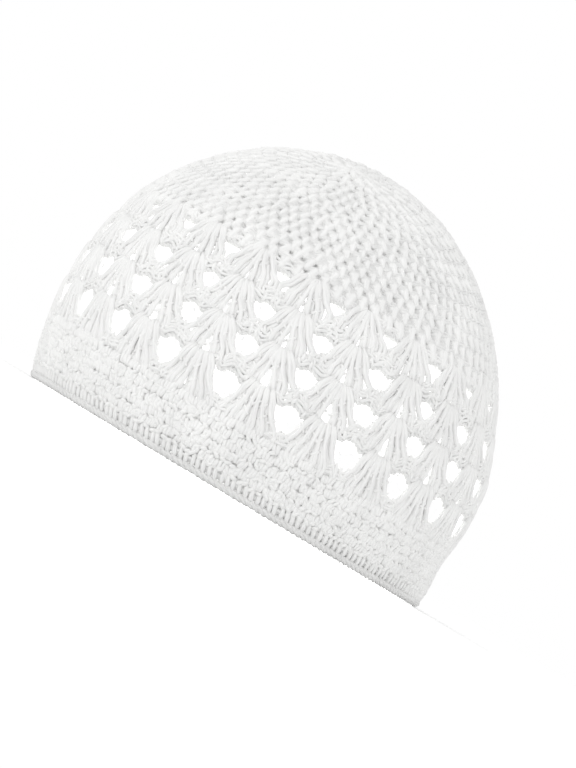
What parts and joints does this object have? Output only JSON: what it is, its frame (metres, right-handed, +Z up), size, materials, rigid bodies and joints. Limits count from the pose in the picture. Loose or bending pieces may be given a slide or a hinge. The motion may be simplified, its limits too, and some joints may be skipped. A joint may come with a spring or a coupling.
{
  "type": "kufi cap",
  "caption": "Soft round crocheted cotton skull cap with a closely worked crown, a pierced openwork side, a plain band and a corded rim, open at the bottom.",
  "frame": {"origin": "middle of the cap's box, in the plane of the rim that it rests on", "axes": "+Z up from the rim to the crown, -Y to the front that the crown nods to, +X to the cap's right as the front is looked at"},
  "size_m": [0.1896, 0.1894, 0.1424],
  "materials": {
    "crown_cotton": "matt white cotton yarn, worked close in rounds",
    "openwork_cotton": "matt white cotton yarn, worked open in fans",
    "band_cotton": "matt white cotton yarn, worked close in rounds",
    "edging_cotton": "matt white cotton yarn, corded edge"
  },
  "bodies": {
    "root": {"crown": "crown_cotton", "openwork_side": "openwork_cotton", "band": "band_cotton", "edging": "edging_cotton"}
  },
  "joints": []
}
